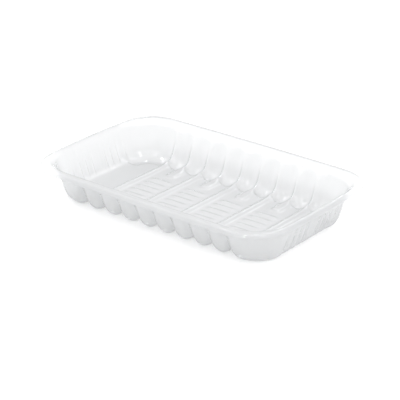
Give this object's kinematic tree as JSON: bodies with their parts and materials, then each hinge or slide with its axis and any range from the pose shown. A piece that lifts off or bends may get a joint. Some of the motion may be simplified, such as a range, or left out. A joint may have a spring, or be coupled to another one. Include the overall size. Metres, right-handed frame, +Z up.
{
  "type": "thermoformed food tray",
  "caption": "Clear rectangular thermoformed tray with fluted sloping walls, a ribbed floor and a rolled flared rim.",
  "frame": {"origin": "middle of the tray's footprint, on the plane its lobes stand on", "axes": "+X along the tray's length, +Y across its width, +Z up toward the rim"},
  "size_m": [0.2738, 0.1774, 0.038],
  "materials": {
    "tray": "clear glossy thermoformed sheet"
  },
  "bodies": {
    "root": {"tray": "tray"}
  },
  "joints": []
}
